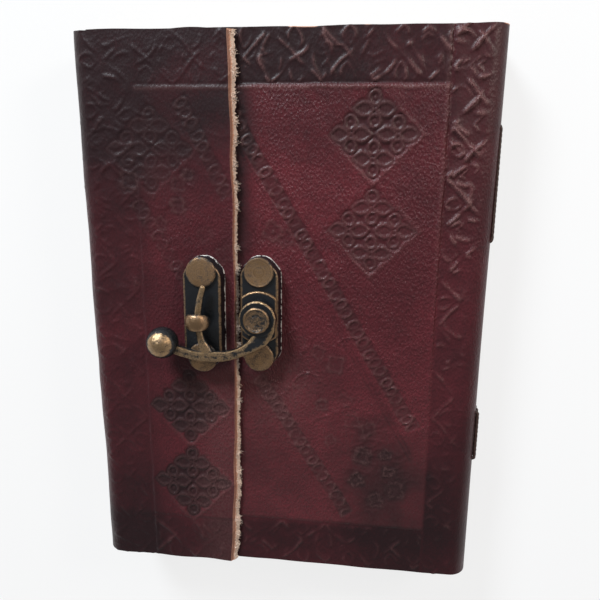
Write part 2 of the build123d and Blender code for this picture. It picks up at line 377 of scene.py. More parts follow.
def borderStrip(t, d, seed):
    # t runs along the strip, d is the distance past its crease and w is measured from its middle
    w = d - border["mid"]
    t, w = t + 0.7 * wander(t, w, 14, seed), w + 0.5 * wander(t, w, 11, seed + 1)
    cell, reach = border["cell"], border["reach"]
    turn = np.abs((t / cell) % 2 - 1) * 2 - 1
    lean = 1 / math.hypot(1, 2 * reach / cell)
    ribs = np.maximum(ridge((w - reach * turn) * lean, 0.5), ridge((w + reach * turn) * lean, 0.5))
    ribs = ribs * (0.12 + 0.95 * patchy(t, w, 8, seed + 2, -0.45, 0.45))
    u = np.abs(t / cell - np.round(t / cell)) * cell
    lens = u / border["leafSize"][0] + (w / border["leafSize"][1]) ** 2
    leaf = ridge(lens - 1, 0.2) * patchy(t, w, 6, seed + 3, -0.3, 0.5)
    strokes = np.maximum(np.sin((u * 0.8 - w) * 2.4 + wander(t, w, 5, seed + 4)), 0) ** 3
    hatch = strokes * soft(1.0, 0.8, lens) * patchy(t, w, 7, seed + 5, -0.4, 0.5)
    u = np.abs((t / cell) % 1 - 0.5) * cell
    bud = u / border["budSize"][0] + ((np.abs(w) - border["budAt"]) / border["budSize"][1]) ** 2
    buds = ridge(bud - 1, 0.25) * patchy(t, w, 9, seed + 6, -0.5, 0.4)
    folds = 0.20 * creases(t, w * 0.7, 9, seed + 7) + 0.06 * wander(t, w, 7, seed + 8)
    raised = np.maximum(ribs * border["rib"], np.maximum(leaf, buds) * border["leaf"])
    inner, outer = border["half"]
    return (raised + hatch * border["hatch"] + folds) * soft(outer, inner, np.abs(w)) * soft(0.2, 1.2, d)


def borderStep(d, x, y):
    # pressed ground inside the strip, with a groove and a raised lip along its crease
    d = d + 0.15 * wander(x, y, 12, 17)
    lip = border["lip"] * ridge(d + 0.7, 0.5) * (0.3 + 0.7 * patchy(x, y, 15, 18, -0.6, 0.4))
    return lip - border["sunk"] * soft(-0.3, 0.6, d) - border["groove"] * ridge(d - 0.3, 0.5)


def faceBorder(x, y, side, face):
    # creases and ribs along the side, head and tail of a face; head and tail are distances past their creases
    head, tail = y - hide["headBand"], hide["tailBand"] - y
    inField = soft(0.4, -0.4, side)
    seed, (sideShift, headShift) = face["seed"], face["shift"]
    headStep, headRibs = face["head"]
    tailStep, tailRibs = face["tail"]
    ribs = borderStrip(y + sideShift, side, seed) * byHeight(y, face["sideRibs"])
    ribs *= soft(face["sideEnd"], face["sideEnd"] - 4, side)
    ribs += borderStrip(x + headShift, head, seed + 10) * inField * headRibs
    ribs += borderStrip(x, tail, seed + 20) * inField * tailRibs
    height = ribs + borderStep(side, x, y) * byHeight(y, face["sideStep"])
    height += (borderStep(head, x, y) * headStep + borderStep(tail, x, y) * tailStep) * inField
    return head, tail, inField, ribs, height


# Stamped medallion: four four-petalled flowers in a pressed diamond
medallion = {
    "half": 14.8,
    "deep": 0.62,
    "step": 7.1,
    "leafAt": 3.3,
    "leafSize": (2.95, 1.95),
    "ringAt": 3.3,
    "ringSize": (1.65, 1.9),
    "rim": 0.75,
    "lip": 0.26,
}


def stampMedallion(x, y, spot, strength):
    u = x - spot[0] + 0.18 * wander(x, y, 6, 51)
    v = y - spot[1] + 0.18 * wander(x, y, 6, 52)
    edge = (np.abs(u) + np.abs(v)) / medallion["half"]
    ground = soft(0.86, 0.70, edge)
    rims = np.zeros_like(x)
    step = medallion["step"]
    leafL, leafW = medallion["leafSize"]
    ringL, ringW = medallion["ringSize"]
    rope = 0.9 + 0.1 * np.sin((u - v) * 5.2)
    for du, dv in ((step, 0), (-step, 0), (0, step), (0, -step)):
        a, b = np.abs(u - du), np.abs(v - dv)
        leaf = ((a - medallion["leafAt"]) / leafL) ** 2 + b / leafW
        ring = np.hypot(a / ringL, (b - medallion["ringAt"]) / ringW)
        rims = np.maximum(rims, np.maximum(ridge(leaf - 1, 0.34), ridge(ring - 1, 0.28)) * rope)
        rims = np.maximum(rims, (0.3 + 0.12 * np.sin(a * 7)) * (leaf < 0.8))
        rims = np.maximum(rims, 0.55 * ridge(ring, 0.35))
        ground = np.maximum(ground, np.maximum(soft(1.75, 1.2, leaf), soft(1.75, 1.25, ring)))
    lip = ridge(edge - 0.99, 0.06) * soft(-9, 9, u - v) * (1 - ground)     # swollen edge on the low side
    height = (medallion["rim"] * rims - medallion["deep"] * ground + medallion["lip"] * lip) * strength
    # the swollen lip joins the rims' mark and is painted pale as a highlight
    return height, ground * strength, (rims + 0.7 * lip) * strength


# Oval chain: rows of three pressed ovals along a slanting band, with a beaded line beside it
chain = {
    "half": 2.4,
    "deep": 0.36,
    "oval": (1.25, 1.9),
    "pitch": 3.3,
    "group": 11.2,
    "barAt": 10.3,
    "rim": 0.44,
    "beadsAt": 3.5,
    "beadPitch": 1.35,
    "beadDeep": 0.14,
}


def stampChain(x, y, start, end, strength):
    run = math.hypot(end[0] - start[0], end[1] - start[1])
    ax, ay = (end[0] - start[0]) / run, (end[1] - start[1]) / run
    t = (x - start[0]) * ax + (y - start[1]) * ay
    w = (x - start[0]) * -ay + (y - start[1]) * ax + 0.2 * wander(x, y, 14, 61)
    inside = soft(-0.6, 0.4, t) * soft(run + 0.6, run - 0.4, t)
    ground = soft(chain["half"] + 0.35, chain["half"] - 0.35, np.abs(w)) * inside
    slot = t % chain["group"] - chain["pitch"] / 2
    place = np.clip(np.round(slot / chain["pitch"]), 0, 2)
    ovalL, ovalW = chain["oval"]
    e = np.hypot((slot - place * chain["pitch"]) / ovalL, w / ovalW)
    rims = np.maximum(ridge(e - 1, 0.28), 0.4 * ridge(e, 0.3)) * (e < 1.7)
    rims = rims * (0.45 + 0.75 * patchy(x, y, 6, 62))
    bars = 0.5 * ridge(t % chain["group"] - chain["barAt"], 0.3) * (np.abs(w) < ovalW)
    rims = np.maximum(rims, bars) * inside
    rounds = 0.5 + 0.5 * np.cos(t * 2 * math.pi / chain["beadPitch"])
    beads = ridge(w + chain["beadsAt"], 0.4) * rounds * inside
    height = (chain["rim"] * rims - chain["deep"] * ground - chain["beadDeep"] * beads) * strength
    return height, np.maximum(ground, 0.5 * beads) * strength, rims * strength


# Small worn flowers, with sizes and strengths taken in turn
flower = {"rim": 0.28, "deep": 0.26, "sizes": (1.9, 2.4, 2.9), "strengths": (0.35, 0.50, 0.65, 0.80)}


def stampFlower(x, y, spot, size, strength):
    u = x - spot[0] + 0.5 * wander(x, y, 5, 63)
    v = y - spot[1] + 0.5 * wander(x, y, 5, 64)
    r = np.hypot(u, v) / size
    turn = np.arctan2(v, u)
    e = r / (0.62 + 0.38 * np.abs(np.cos(2 * turn + spot[0])))
    ground = soft(1.8, 0.7, r)
    rims = np.maximum(ridge(e - 1, 0.22), 0.6 * ridge(r, 0.22)) * (r < 1.4)
    height = (flower["rim"] * rims - flower["deep"] * ground) * strength
    return height, ground * strength, rims * strength


# Where the stamps stand, with their strengths, and how dark medallions, chains and flowers are dyed
coverStamps = {
    "dark": (0.42, 0.46, 0.42),
    "medallions": [((27.6, 58.8), 1.0), ((27.8, 30.0), 0.9)],
    "chains": [((-18.0, 68.0), (44.1, -35.9), 1.0), ((-8.3, -19.8), (23.0, -68.7), 0.9)],
    "flowers": [
        (5.8, -6.5), (11.9, -10.3), (17.6, -14.5), (13.5, -28.9), (21.2, -26.6), (29.2, -36.9), (35.2, -45.6),
        (25.4, -55.7), (39.1, -58.4), (16.5, -41.4), (0.7, 26.5), (-3.5, 28.9), (6.0, -22.2), (32.5, -62.8),
        (27.5, -46.5), (36.5, -52.0), (2.5, -15.0), (23.5, -34.0),
    ],
}
flapStamps = {
    "dark": (0.72, 0.24, 0.30),
    "medallions": [((-31.4, -31.0), 0.8), ((-31.2, -59.0), 0.85), ((-41.5, 54.0), 0.34)],
    "chains": [((-32.0, 69.3), (-17.0, 40.0), 0.6), ((-46.9, 38.1), (-30.6, 11.2), 0.65)],
    "flowers": [
        (-36.9, 49.4), (-32.9, 43.3), (-48.6, 44.6), (-29.6, 46.4), (-24.6, 27.8), (-18.2, 21.5),
        (-38.5, 31.0), (-33.0, 36.5),
    ],
}


def stampAll(x, y, stamps):
    bold, chained, small = stamps["dark"]
    made = [(bold, stampMedallion(x, y, spot, strength)) for spot, strength in stamps["medallions"]]
    made += [(chained, stampChain(x, y, start, end, strength)) for start, end, strength in stamps["chains"]]
    for k, spot in enumerate(stamps["flowers"]):
        size = flower["sizes"][k % len(flower["sizes"])]
        strength = flower["strengths"][k % len(flower["strengths"])]
        made.append((small, stampFlower(x, y, spot, size, strength)))
    height, dark, rims = (np.zeros_like(x) for _ in range(3))
    for share, (h, d, r) in made:
        height = height + h
        dark = np.maximum(dark, d * share)
        rims = np.maximum(rims, r)
    return height, dark, rims


# Faces: steps and ribs of the border, by height or as a pair for head and tail, and spots as x, y and reach
coverFace = {
    "seed": 11,
    "shift": (0, 4),
    "sideStep": {-89: 0.25, -30: 0.45, 40: 1.0},
    "sideRibs": {-89: 0.7, -40: 0.7, 20: 1.2, 50: 2.3, 89: 2.1},
    "sideEnd": 12.0,
    "head": (1.0, 1.0),
    "tail": (0.4, 0.8),
    "lineFrom": (15.6, 0.8),
    "lineAcross": (0.864, 0.504),
    "lineGap": 1.3,
    "lineDeep": 0.18,
    "wrinkled": (4, -10, 24),
    "sheenSpot": (-3, -24, 14),
    "stain": (32, -50),
    "stainDeep": 0.24,
    "stainDye": 0.52,
    "corner": (44, -72),
    "cornerDye": 0.32,
    "headDye": 0.78,
    "tailDye": 0.52,
    "sideDye": {-89: 0.45, -60: 0.40, 0: 0.36, 40: 0.34, 89: 0.36},
}


def doubleLine(x, y):
    # a thin pair of lines beside the long chain
    startX, startY = coverFace["lineFrom"]
    ax, ay = coverFace["lineAcross"]
    w = (x - startX) * ax + (y - startY) * ay
    ends = soft(15.0, 17.0, x) * soft(45.0, 43.0, x)
    return (ridge(w, 0.35) + ridge(w - coverFace["lineGap"], 0.35)) * ends


def coverTooling(x, y):
    right = x - hide["coverCrease"]
    head, tail, inField, ribs, height = faceBorder(x, y, right, coverFace)
    field = inField * soft(0.5, -0.5, head) * soft(0.5, -0.5, tail)
    stamps, dark, rims = stampAll(x, y, coverStamps)
    pair = doubleLine(x, y)
    stainX, stainY = coverFace["stain"]
    stain = soft(20, 6, np.hypot(x - stainX, (y - stainY) * 0.8) + 4 * wander(x, y, 12, 73))
    height += stamps - coverFace["lineDeep"] * pair
    height += (0.07 + 0.36 * around(x, y, coverFace["wrinkled"])) * creases(x, y, 9, 75) * field
    height += coverFace["stainDeep"] * stain * ridge(wander(x, y, 5, 77), 0.2)
    # darker at random, towards the tail and towards the head
    dyeAndShade = 0.10 + 0.10 * wander(x, y, 34, 71) + 0.10 * soft(10, -70, y) + 0.20 * soft(30, 66, y)
    dyeAndShade += coverFace["headDye"] * soft(-0.4, 0.8, head) * inField * (1 - 0.34 * soft(-5, 45, x))
    dyeAndShade += coverFace["tailDye"] * soft(-2.5, 2.5, tail) * inField
    dyeAndShade += byHeight(y, coverFace["sideDye"]) * soft(-0.3, 0.8, right)
    cornerX, cornerY = coverFace["corner"]
    dyeAndShade += coverFace["cornerDye"] * soft(34, 10, np.hypot(x - cornerX, y - cornerY))
    dyeAndShade += coverFace["stainDye"] * stain + dark + 0.3 * pair - 0.25 * ribs
    # painted shadow cast by the flap beside its edge, stronger towards the head
    dyeAndShade += 0.5 * ridge(x + 13.5, 3.5) * soft(-10, 30, y) + ridge(x + 15, 5) * (0.08 + 0.22 * soft(0, 40, y))
    # rubbed ridges and rims, with painted highlights on the head lip and the side crease, and painted sheen
    # at the upper right border and in the lower field
    rubAndSheen = soft(0.12, 0.45, ribs) * (0.15 + 0.6 * byHeight(y, coverFace["sideStep"])) + 0.45 * rims
    rubAndSheen += 0.6 * ridge(head + 0.8, 0.6) * inField + 0.3 * ridge(right + 0.8, 0.6) * soft(-10, 50, y)
    rubAndSheen += 0.10 * soft(0.5, 3, right) * soft(20, 60, y) + 0.12 * soft(0, -50, y) * field
    # painted light below the clasp, lightening where its shadow falls
    rubAndSheen += 0.30 * around(x, y, coverFace["sheenSpot"])
    return height, dyeAndShade, rubAndSheen


flapFace = {
    "seed": 13,
    "shift": (5, 3),
    "sideStep": {0: 0.5},
    "sideRibs": {-60: 0.6, 20: 0.65, 60: 0.6},
    "sideEnd": 99.0,
    "head": (0.35, 0.5),
    "tail": (0.35, 0.8),
    "wrinkled": (-26, 2, 30),
    "rucked": (-46, 50, 20),
    "shaded": (-41, 54, 24),
    "dyeAndShade": {-89: 0.60, -72: 0.52, -55: 0.40, -20: 0.33, 10: 0.31, 32: 0.29, 48: 0.46, 65: 0.80, 89: 0.94},
}


def flapTooling(x, y):
    left = hide["flapCrease"] - x
    head, tail, inField, ribs, height = faceBorder(x, y, left, flapFace)
    stamps, dark, rims = stampAll(x, y, flapStamps)
    height += stamps
    height += 0.12 * around(x, y, flapFace["wrinkled"]) * creases(x, y, 10, 85) * inField
    # hide pulled up in ridges beside the fold
    ruckX, ruckY, ruckReach = flapFace["rucked"]
    rucked = ridge(np.hypot((x - ruckX) * 0.8, y - ruckY), ruckReach)
    height += 0.34 * rucked * creases(x * 0.6, y * 1.2, 8, 87)
    dyeAndShade = byHeight(y, flapFace["dyeAndShade"]) - 0.16 * soft(-42, -20, x) * soft(60, 20, y)
    dyeAndShade += 0.12 * wander(x, y, 30, 81) + 0.14 * around(x, y, flapFace["shaded"]) + 0.06
    dyeAndShade += 0.22 * soft(-6.0, 2.0, left) + 0.22 * soft(-2.5, 2.0, tail) + dark - 0.2 * ribs
    dyeAndShade -= 0.35 * ridge(x - hide["flapEdge"] - 0.6, 0.9)
    # rubbed ridges and rims, with a painted highlight on the head lip and painted sheen on the lower right of
    # the flap
    rubAndSheen = soft(0.15, 0.5, ribs) * 0.3 + 0.35 * rims + 0.25 * ridge(head + 0.8, 0.6) * inField
    rubAndSheen += 0.30 * soft(-34, -20, x) * soft(10, -25, y)
    return height, dyeAndShade, rubAndSheen


backFace = {
    "seed": 15,
    "shift": (0, 0),
    "sideStep": {0: 1.0},
    "sideRibs": {0: 0.8},
    "sideEnd": 12.0,
    "head": (1.0, 1.0),
    "tail": (1.0, 1.0),
}


def backTooling(x, y):
    edge = np.abs(x) - hide["coverCrease"]
    head, tail, inField, ribs, height = faceBorder(x, y, edge, backFace)
    inBorder = soft(-0.4, 0.8, np.maximum(edge, np.maximum(head, tail)))
    dyeAndShade = 0.15 + 0.14 * wander(x, y, 36, 91) + 0.5 * inBorder - 0.2 * ribs
    # nothing stands out below the face that the book lies on
    return np.minimum(height - 0.22, 0.0), dyeAndShade, soft(0.05, 0.30, ribs) * 0.6


def wrapTooling(s, y):
    # each stretch of the hide takes the tooling of the face that it belongs to
    toBack = soft(flatStart[1] + 2, flatStart[2] - 2, s)
    toFlap = soft(flatStart[3] + 2, flatStart[4] - 2, s)
    front = coverTooling(s + hide["coverEdge"], y)
    back = backTooling(foldX - (s - flatStart[2]), y)
    flap = flapTooling(s - flatStart[4] - foldX, y)
    return [f * (1 - toBack) + b * toBack * (1 - toFlap) + p * toFlap for f, b, p in zip(front, back, flap)]


def within(v, low, high, inner=0.2, outer=2.5):
    return soft(low - outer, low - inner, v) * soft(high + outer, high + inner, v)


def plateRest(x, y, z):
    # the hide lies flat under the two plates
    calm = np.zeros_like(x)
    for low, high, level in ((keeperLow, keeperHigh, flapTop), (pivotLow, pivotHigh, coverTop)):
        covered = within(x, low[0], high[0]) * within(y, low[1], high[1])
        calm = np.maximum(calm, covered * (np.abs(z - level) < hide["thick"] + 0.3))
    return calm


def panelGrid(across, freeEdge):
    # a flat unit panel one unit thick, with the grain side at 0 and the flesh side at -1
    bm = bmesh.new()
    bmesh.ops.create_grid(bm, x_segments=across, y_segments=hide["rows"], size=0.5)
    if freeEdge:
        raiseFaces(bm, (0, 0, -1))
        wall = [e for e in bm.edges if all(v.co.x > 0.4999 for v in e.verts) and e.calc_length() > 0.5]
        bmesh.ops.subdivide_edges(bm, edges=wall, cuts=5)
        return bm
    # the flesh side is plain, so it has the same columns and no rows
    below = Matrix.Translation((0, 0, -1))
    bmesh.ops.create_grid(bm, x_segments=across, y_segments=1, size=0.5, matrix=below)
    for end in (-0.5, 0.5):
        rims = [e for e in bm.edges if all(abs(v.co.y - end) < 1e-4 for v in e.verts)]
        bmesh.ops.bridge_loops(bm, edges=rims)
    bmesh.ops.holes_fill(bm, edges=[e for e in bm.edges if e.is_boundary], sides=0)
    return bm


def leatherPanel(name, columns, looks, freeEdge=False):
    across = len(columns) - 1
    bm = panelGrid(across, freeEdge)
    flat = np.array([v.co for v in bm.verts])
    u, v, deep = flat[:, 0] + 0.5, flat[:, 1] * 2, -flat[:, 2]
    s = np.interp(u * across, np.arange(across + 1), columns)
    y = v * halfH
    rim = np.abs(v) > 0.9999
    if freeEdge:
        reach = flapS(flapEdgeAt(y)) - columns[0]
        torn = 0.28 * wander(y, deep * 3, 3.7, 43) + 0.40 * wander(y, deep * 3, 0.75, 44)
        s = columns[0] + (s - columns[0]) * reach / (columns[-1] - columns[0])
        s = s + (u > 0.9999) * (skiveAt(y) * deep + torn * soft(0.1, 0.9, deep))
    height, dyeAndShade, rubAndSheen = wrapTooling(s, y)
    x, z = onLine(s)
    x2, z2 = onLine(s + 0.02)
    x1, z1 = onLine(s - 0.02)
    size = np.hypot(x2 - x1, z2 - z1)
    nx, nz = -(z2 - z1) / size, (x2 - x1) / size
    # the tooling and a slow sway lift the grain side
    calm = 1 - plateRest(x, y, z)
    onBack = (s > flatStart[2]) & (s < flatStart[3])
    onSpine = soft(flatStart[1] - 9, flatStart[1], s) * soft(flatStart[2] + 2, flatStart[2], s)
    sway = 0.22 * wander(s, y, 46, 101) + 0.05 * wander(s, y, 9, 102)
    skin = height * calm + np.where(onBack, 0.0, sway * calm * (1 - onSpine))
    lift = hide["thick"] * (0.5 - deep) + skin * (1 - deep)
    # edges wander a little and grow past the flat cut
    y = y + 0.25 * wander(s, v, 21, 103) * soft(0.9, 1.0, np.abs(v))
    onFlap = soft(flatStart[3], flatStart[4], s)
    head = hide["growHead"][0] * (1 - onFlap) + hide["growHead"][1] * onFlap
    y = y + head * soft(0.5, 1.0, v) - hide["growTail"] * soft(0.5, 1.0, -v)
    left, right = hide["growSide"]
    spread = soft(0.6, 1.0, np.abs(x) / outerX) * np.where(x > 0, soft(-0.3, 1.0, v), soft(-1.0, 0.6, v))
    x = x + nx * lift + spread * np.where(x > 0, right, -left)
    place = np.stack([x, y, z + nz * lift], axis=1)
    patch = patchy(s, y, 11, 104, -0.1, 0.5)
    raw = np.where(rim, 0.6, 0.0) * np.where(deep < 0.1, patch * (v > 0) * soft(-30, 10, x), 1.0)
    if freeEdge:
        raw = np.where(u > 0.9999, np.maximum(raw, 0.3 + 0.7 * soft(0.25, 0.7, deep)), raw)
    marks = {"dyeAndShade": np.clip(dyeAndShade, 0, 1), "rubAndSheen": np.clip(rubAndSheen, 0, 1), "raw": raw}
    layers = {key: bm.verts.layers.float.new(key) for key in marks}
    for k, vert in enumerate(bm.verts):
        vert.co = place[k]
        for key, layer in layers.items():
            vert[layer] = marks[key][k]
    outward(bm)
    addPiece(name, bm, "diary", looks, ["leather_wrap"], 60.0)


def evenly(start, end, step):
    return np.linspace(start, end, max(2, int(round(abs(end - start) / step)) + 1))


# Panels round the book, with the width of their columns
panels = {"spine_leather": 0.45, "back_cover": 0.62, "fore_edge_leather": 0.45}
coverPanel = {"shownFrom": -22.0, "hiddenStep": 4.0, "step": 0.45}
flapStep = 0.42


def buildLeather():
    looks = leatherLooks()
    crease = hide["coverCrease"]
    folds = [coverS(crease), backS(crease), backS(-crease), flapS(hide["flapCrease"])]
    shown = coverS(coverPanel["shownFrom"])
    hidden = evenly(0, shown, coverPanel["hiddenStep"])
    front = np.concatenate([hidden[:-1], evenly(shown, folds[0], coverPanel["step"])])
    leatherPanel("front_cover", front, looks)
    for name, start, end in zip(panels, folds, folds[1:]):
        leatherPanel(name, evenly(start, end, panels[name]), looks)
    leatherPanel("flap", evenly(folds[3], flapS(hide["flapEdge"]), flapStep), looks, freeEdge=True)
    return looks


# Loose fibres along the flap's raw edge
fuzz = {"count": 3200, "long": (0.3, 1.15), "thick": 0.07, "seed": 7}


def buildFuzz(looks):
    draw = random.Random(fuzz["seed"])
    bm = bmesh.new()
    raw = bm.verts.layers.float.new("raw")
    for _ in range(fuzz["count"]):
        y = draw.uniform(-halfH + 0.6, halfH - 0.6)
        tuft = float(wander(np.array(y), np.array(0.0), 5, 46))
        if draw.random() > 0.55 + tuft:
            continue
        deep = draw.uniform(0.35, 1.0)
        reach = draw.uniform(*fuzz["long"]) * (1.6 if tuft > 0.4 else 0.8)
        made = bmesh.ops.create_cone(bm, segments=4, radius1=fuzz["thick"], radius2=fuzz["thick"] * 0.4,
                                     depth=reach, cap_ends=True)
        edge = float(flapEdgeAt(np.array(y)) + skiveAt(np.array(y)) * deep)
        foot = Vector((edge - 0.15, y, flapTop - hide["thick"] * deep))
        aim = Vector((1.0, draw.uniform(-1.2, 1.2), draw.uniform(-0.3, 0.8))).normalized()
        turn = aim.to_track_quat("Z", "Y")
        bend = draw.uniform(-0.35, 0.35)
        for vert in made["verts"]:
            along = vert.co.z + reach / 2
            vert.co = foot + turn @ Vector((vert.co.x + bend * along * along, vert.co.y, along))
            vert[raw] = 1.0
    addPiece("edge_fibres", bm, "diary", looks)


# Handmade paper: nested folded sheets in each gathering
pages = {
    "sheets": 4,
    "thick": 0.16,
    "nest": 0.2,
    "inset": 5.1,
    "columns": 46,
    "rows": 60,
    "relax": 14.0,
    "cream": ((0.62, 0.52, 0.37, 1), (0.74, 0.66, 0.52, 1)),
    "fleck": (0.34, 0.25, 0.15, 1),
}


def paperLooks():
    looks, tree, shader, place = newLooks("handmadePaper")
    pulp = speckle(tree, place, 420.0, 5.0, 0.65)
    fleck = speckle(tree, place, 1900.0, 1.0, 0.5)
    cream = colourMix(tree, span(tree, pulp, 0.3, 0.7), *pages["cream"])
    tone = colourMix(tree, span(tree, fleck, 0.70, 0.76), cream, pages["fleck"])
    normal = bumps(tree, pulp, 0.35, 0.0003)
    feed(tree, shader, {"Base Color": tone, "Roughness": 0.9, "Normal": normal, "Specular IOR Level": 0.2})
    return looks


def foldedSheet(low, high, k, n):
    # sheet n of gathering k: tight at the fold, then relaxed to an even share of the thickness
    mid, half = (low[2] + high[2]) / 2, (high[2] - low[2]) / 2
    turnX = high[0] - half
    seed = 10 * k + n
    sheet = bmesh.new()
    bmesh.ops.create_grid(sheet, x_segments=pages["columns"], y_segments=pages["rows"], size=0.5)
    flat = np.array([v.co for v in sheet.verts])
    u, v = flat[:, 0] * 2, flat[:, 1] * 2
    tight = half - pages["thick"] / 2 - pages["nest"] * n - 0.015
    loose = (half - 0.1) * (1 - n / pages["sheets"])
    leaf = turnX - low[0] - 0.5 * ((n + k) % 3) - 0.3
    arc = math.pi / 2 * tight
    run = np.sign(u) * np.abs(u) ** 1.6 * (leaf + arc)
    turn = np.clip(run / tight, -math.pi / 2, math.pi / 2)
    past = np.maximum(np.abs(run) - arc, 0)
    away = soft(2.0, pages["relax"], past)
    level = tight + (loose - tight) * away
    wave = 0.10 * away * wander(past, v * 86, 31, 200 + seed) * (1 if n else 0.3)
    x = turnX + tight * np.cos(turn) * (past <= 0) - past
    z = mid + np.where(past > 0, np.sign(run) * level + wave, tight * np.sin(turn))
    deckle = 0.45 * wander(run, v, 7, 300 + seed) * soft(0.93, 1.0, np.abs(v))
    y = v * (halfH - pages["inset"]) + deckle
    x = x + 0.35 * wander(y, v, 9, 400 + seed) * soft(0.9, 1.0, np.abs(u))
    for p, vert in zip(zip(x, y, z), sheet.verts):
        vert.co = p
    outward(sheet)
    bmesh.ops.solidify(sheet, geom=sheet.faces[:], thickness=pages["thick"])
    return sheet


def buildPages():
    looks = paperLooks()
    for k in range(gatherings):
        node = f"signature_{k + 1}"
        low, high = nodeBox(node)
        bm = bmesh.new()
        for n in range(pages["sheets"]):
            takeIn(bm, foldedSheet(low, high, k, n))
        outward(bm)
        addPiece(f"gathering_{k + 1}", bm, "diary", looks, [node], 50.0)


# Swept shapes: rings along a run of points, bridged into a closed tube
def smoothRun(points, count):
    points = [Vector(p) for p in points]
    points = [2 * points[0] - points[1]] + points + [2 * points[-1] - points[-2]]
    spans = len(points) - 3
    run = []
    for k in range(count):
        at = min(k / (count - 1) * spans, spans - 1e-6)
        n = int(at)
        a, b, c, d = points[n:n + 4]
        t = at - n
        run.append(0.5 * (2 * b + (c - a) * t + (2 * a - 5 * b + 4 * c - d) * t * t
                          + (3 * b - 3 * c + d - a) * t ** 3))
    return run


def sweepRings(bm, run, sides, outline):
    rings = []
    for k, place in enumerate(run):
        aim = (run[min(k + 1, len(run) - 1)] - run[max(k - 1, 0)]).normalized()
        across = aim.cross((0, 0, 1)).normalized()
        rise = across.cross(aim)
        last = k in (0, len(run) - 1)
        ring = bmesh.ops.create_circle(bm, segments=sides, radius=1.0, cap_ends=last)["verts"]
        for n, vert in enumerate(ring):
            a, b = outline(k / (len(run) - 1), 2 * math.pi * n / sides)
            vert.co = place + across * a + rise * b
        rings.append(ring)
    hoops = [list({e for v in ring for e in v.link_edges}) for ring in rings]
    for first, second in zip(hoops, hoops[1:]):
        bmesh.ops.bridge_loops(bm, edges=first + second)
    outward(bm)
    return rings


def lathe(bm, profile, steps, centre):
    verts = [bm.verts.new((r, 0, z)) for r, z in profile]
    edges = [bm.edges.new(pair) for pair in zip(verts, verts[1:])]
    bmesh.ops.spin(bm, geom=verts + edges, axis=(0, 0, 1), angle=2 * math.pi, steps=steps, use_merge=True)
    bmesh.ops.remove_doubles(bm, verts=bm.verts[:], dist=0.002)
    outward(bm)
    bmesh.ops.translate(bm, vec=centre, verts=bm.verts[:])


# Waxed binding cords, two strands twisted, with the heights of the holes in the spine
cord = {
    "r": 0.6,
    "tight": 0.2,
    "waist": 0.72,
    "lay": 3.2,
    "step": 0.45,
    "bend": 0.9,
    "stations": (62.0, 27.0, -30.0, -47.0),
    "tones": ((0.020, 0.010, 0.008, 1), (0.075, 0.035, 0.026, 1)),
}


def cordLooks():
    looks, tree, shader, place = newLooks("waxedCord")
    fluff = speckle(tree, place, 1500.0, 3.0, 0.6)
    tone = colourMix(tree, span(tree, fluff, 0.3, 0.7), *cord["tones"])
    feed(tree, shader, {"Base Color": tone, "Roughness": 0.55, "Normal": bumps(tree, fluff, 0.4, 0.0003)})
    return looks


def cordRoute(insideX, outsideX, z):
    # in the crease, out through the spine, along it and back in, with every corner rounded
    a, b, c, d = cord["stations"]
    corners = [(insideX, a), (outsideX, a), (outsideX, b), (insideX, b), (insideX, c), (outsideX, c),
               (outsideX, d), (insideX, d)]
    points = roundedRoute([(x, y, z) for x, y in corners], cord["bend"], 5)[0]
    route = [Vector(point) for point in points]
    evened = []
    for first, second in zip(route, route[1:]):
        parts = max(1, int((second - first).length / cord["step"]))
        evened += [first.lerp(second, n / parts) for n in range(parts)]
    return evened + [route[-1]]


def buildCords():
    looks = cordLooks()
    for k in range(gatherings):
        node = f"binding_thread_{k + 1}"
        low, high = nodeBox(node)
        bm = bmesh.new()
        route = cordRoute(low[0], high[0] - cord["r"] - cord["tight"], (low[2] + high[2]) / 2)
        turns = len(route) * cord["step"] / cord["lay"]

        def twisted(share, angle):
            lobe = angle - 2 * math.pi * share * turns
            r = cord["r"] * (cord["waist"] + (1 - cord["waist"]) * abs(math.cos(lobe)))
            return r * math.cos(angle), r * math.sin(angle)

        sweepRings(bm, route, 12, twisted)
        addPiece(f"binding_cord_{k + 1}", bm, "diary", looks, [node], 60.0)


# Antique brass: black patina with the brass showing where it is rubbed, and pale specks by the plates' feet
brass = {"patina": (0.0095, 0.0105, 0.0125, 1), "paleSpecks": (0.80, 0.78, 0.74, 1)}
finishes = {
    "Cast": {"tone": (0.36, 0.225, 0.125, 1), "blotch": 620.0, "rough": (0.22, 0.36), "pits": 0.5},
    "Knob": {"tone": (0.47, 0.31, 0.17, 1), "blotch": 620.0, "rough": (0.24, 0.32), "pits": 0.6},
    "Cap": {"tone": (0.46, 0.28, 0.150, 1), "blotch": 420.0, "rough": (0.4, 0.36), "pits": 0.35},
}


def patinaGroup():
    group = bpy.data.node_groups.new("rubbedPatina", "ShaderNodeTree")
    group.interface.new_socket("Rubbed", in_out="INPUT", socket_type="NodeSocketFloat")
    group.interface.new_socket("Scale", in_out="INPUT", socket_type="NodeSocketFloat")
    group.interface.new_socket("Share", in_out="OUTPUT", socket_type="NodeSocketFloat")
    group.interface.new_socket("Pitting", in_out="OUTPUT", socket_type="NodeSocketFloat")
    source = put(group, "NodeGroupInput")
    place = put(group, "ShaderNodeTexCoord").outputs["Object"]
    blotch = speckle(group, place, source.outputs["Scale"], 4.0, 0.62)
    fine = speckle(group, place, 2600.0, 2.0, 0.6)
    broken = maths(group, "ADD", source.outputs["Rubbed"], span(group, blotch, 0.25, 0.75, -0.34, 0.34))
    broken = maths(group, "ADD", broken, span(group, fine, 0.3, 0.7, -0.14, 0.14))
    share = span(group, broken, 0.40, 0.88)
    put(group, "NodeGroupOutput", {"Share": share, "Pitting": maths(group, "ADD", fine, blotch)})
    return group


